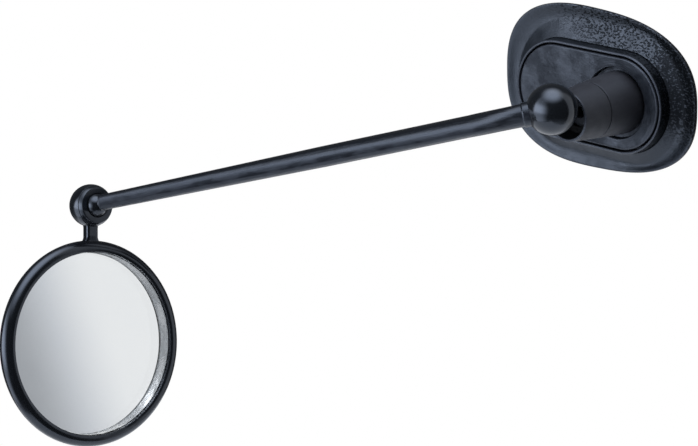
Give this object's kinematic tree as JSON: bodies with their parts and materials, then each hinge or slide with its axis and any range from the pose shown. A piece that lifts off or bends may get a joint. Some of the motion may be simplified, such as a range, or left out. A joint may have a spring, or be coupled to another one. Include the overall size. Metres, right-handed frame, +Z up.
{
  "type": "stick-on rearview mirror",
  "caption": "Small round rearview mirror on a slim arm with a ball joint at each end, held by a swivel turret on a flexible stick-on pad.",
  "frame": {"origin": "middle of the sticky back of the pad", "axes": "+Y out of the sticky back into the surface that it is stuck to, X along the pad's long way with the turret towards +X, +Z up"},
  "size_m": [0.111, 0.1392, 0.1021],
  "materials": {
    "pad": "soft grained black vinyl rubber, half gloss",
    "tape": "matt dark foam tape",
    "plate": "finely textured black plastic",
    "turret": "matt charcoal plastic",
    "gloss_black": "smooth glossy black plastic",
    "bearing_plastic": "waxy black nylon",
    "soft_rubber": "matt rubber",
    "spring_steel": "plain spring steel",
    "mirror_glass": "silvered glass"
  },
  "bodies": {
    "base": {"foam_tape": "tape", "flexible_pad": "pad", "base_plate": "plate", "spring_washer": "spring_steel"},
    "turret": {"turret_drum": "turret", "turret_sleeve": "turret", "ball_stud": "bearing_plastic", "swivel_clip": "spring_steel"},
    "liner": {"socket_liner": "bearing_plastic"},
    "arm": {"arm_ball": "gloss_black", "arm_rod": "gloss_black"},
    "seat": {"seat_cup": "bearing_plastic"},
    "plug": {"pressure_plug": "soft_rubber"},
    "head": {"mirror_shell": "gloss_black", "socket_cap": "gloss_black", "glass_tape": "tape", "mirror_glass": "mirror_glass"}
  },
  "joints": [
    {"name": "turret_swivel", "type": "hinge", "parent": "base", "child": "turret", "pos_m": [0.0089, -0.0066, 0], "axis": [0, -1, 0], "continuous": true},
    {"name": "arm_swing", "type": "hinge", "parent": "turret", "child": "liner", "pos_m": [0.00925, -0.0312, 0.00303], "axis": [0, 0, 1], "range_deg": [-20, 20]},
    {"name": "arm_lift", "type": "hinge", "parent": "liner", "child": "arm", "pos_m": [0.00925, -0.0312, 0.00303], "axis": [-0.6924, 0.7215, 0], "range_deg": [-15, 15]},
    {"name": "mirror_turn", "type": "hinge", "parent": "arm", "child": "seat", "pos_m": [-0.07292, -0.10613, -0.02294], "axis": [-0.238, 0.2295, 0.9438], "range_deg": [-36, 34]},
    {"name": "mirror_tilt", "type": "hinge", "parent": "seat", "child": "plug", "pos_m": [-0.07292, -0.10613, -0.02294], "axis": [0.1048, 0.9721, -0.2099], "range_deg": [-18, 18]},
    {"name": "mirror_roll", "type": "hinge", "parent": "plug", "child": "head", "pos_m": [-0.07292, -0.10613, -0.02294], "axis": [0.9656, -0.0489, 0.2554], "range_deg": [-90, 90]}
  ]
}
